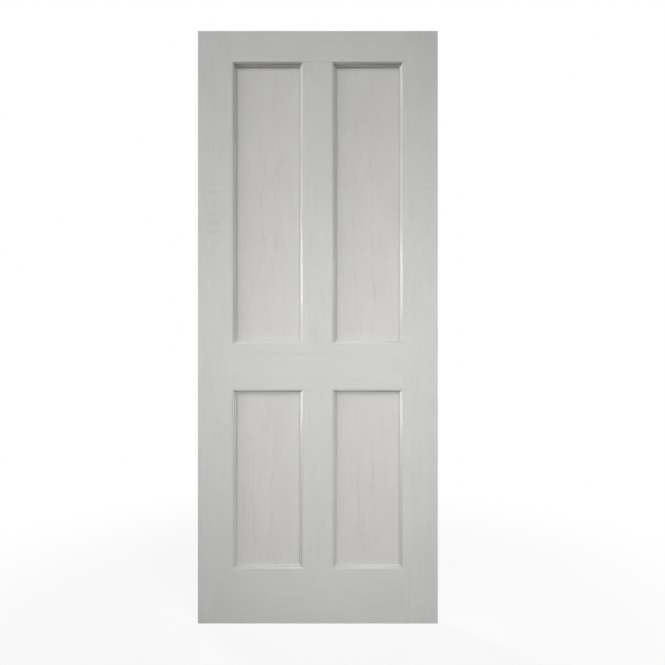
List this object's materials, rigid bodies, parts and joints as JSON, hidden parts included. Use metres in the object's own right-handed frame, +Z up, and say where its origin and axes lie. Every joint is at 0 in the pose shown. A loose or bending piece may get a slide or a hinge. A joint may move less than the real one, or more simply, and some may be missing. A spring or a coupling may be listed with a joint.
{
  "type": "panel door leaf",
  "caption": "Painted timber interior door leaf: stiles, rails and muntins round recessed flat panels with mitred ogee beads; hung on one long edge to close a doorway.",
  "frame": {"origin": "middle of the bottom edge, halfway through the thickness", "axes": "+Z up the leaf, +X to the right across the front face, +Y from the front face to the back"},
  "size_m": [0.826, 0.04, 2.04],
  "materials": {
    "frame_paint": "satin",
    "panel_paint": "satin",
    "bead_paint": "satin",
    "dowel_beech": "matte"
  },
  "bodies": {
    "root": {"left_stile": "frame_paint", "right_stile": "frame_paint", "top_rail": "frame_paint", "lock_rail": "frame_paint", "bottom_rail": "frame_paint", "upper_muntin": "frame_paint", "lower_muntin": "frame_paint", "upper_left_panel": "panel_paint", "upper_right_panel": "panel_paint", "lower_left_panel": "panel_paint", "lower_right_panel": "panel_paint", "upper_left_front_bottom_bead": "bead_paint", "upper_left_front_left_bead": "bead_paint", "upper_left_front_top_bead": "bead_paint", "upper_left_front_right_bead": "bead_paint", "upper_left_back_bottom_bead": "bead_paint", "upper_left_back_left_bead": "bead_paint", "upper_left_back_top_bead": "bead_paint", "upper_left_back_right_bead": "bead_paint", "upper_right_front_bottom_bead": "bead_paint", "upper_right_front_left_bead": "bead_paint", "upper_right_front_top_bead": "bead_paint", "upper_right_front_right_bead": "bead_paint", "upper_right_back_bottom_bead": "bead_paint", "upper_right_back_left_bead": "bead_paint", "upper_right_back_top_bead": "bead_paint", "upper_right_back_right_bead": "bead_paint", "lower_left_front_bottom_bead": "bead_paint", "lower_left_front_left_bead": "bead_paint", "lower_left_front_top_bead": "bead_paint", "lower_left_front_right_bead": "bead_paint", "lower_left_back_bottom_bead": "bead_paint", "lower_left_back_left_bead": "bead_paint", "lower_left_back_top_bead": "bead_paint", "lower_left_back_right_bead": "bead_paint", "lower_right_front_bottom_bead": "bead_paint", "lower_right_front_left_bead": "bead_paint", "lower_right_front_top_bead": "bead_paint", "lower_right_front_right_bead": "bead_paint", "lower_right_back_bottom_bead": "bead_paint", "lower_right_back_left_bead": "bead_paint", "lower_right_back_top_bead": "bead_paint", "lower_right_back_right_bead": "bead_paint", "top_rail_dowels": "dowel_beech", "lock_rail_dowels": "dowel_beech", "bottom_rail_dowels": "dowel_beech", "upper_muntin_dowels": "dowel_beech", "lower_muntin_dowels": "dowel_beech"}
  },
  "joints": []
}
